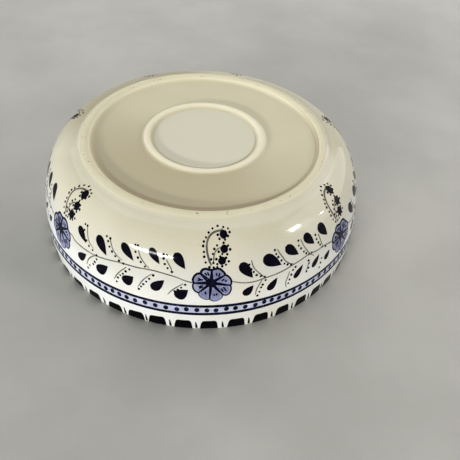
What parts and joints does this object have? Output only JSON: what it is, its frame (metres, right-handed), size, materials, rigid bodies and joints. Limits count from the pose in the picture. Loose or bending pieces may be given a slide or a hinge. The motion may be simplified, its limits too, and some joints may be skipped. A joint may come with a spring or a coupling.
{
  "type": "serving bowl",
  "caption": "Wide low glazed bowl lying upside down on its rounded lip, with a curved shoulder, a raised foot ring on top and a smaller raised ring in its recess.",
  "frame": {"origin": "centre of the lip's resting plane, on the bowl's axis", "axes": "+Z along the bowl's axis, from the lip up to the foot ring, the bowl lying upside down as in the picture; the camera of the picture is on the -Y side"},
  "size_m": [0.25, 0.25, 0.0766],
  "materials": {
    "clay": "bare fired clay, matt",
    "outside_glaze": "glossy cream",
    "inside_glaze": "glossy cream",
    "underside_glaze": "glossy beige"
  },
  "bodies": {
    "root": {"side_wall": "clay", "shoulder": "clay", "foot_ledge": "clay", "floor_slab": "clay", "foot_ring": "clay", "centre_ring": "clay", "rim_lip": "clay", "outside_glaze": "outside_glaze", "lip_glaze": "outside_glaze", "inside_glaze": "inside_glaze", "underside_glaze": "underside_glaze"}
  },
  "joints": []
}
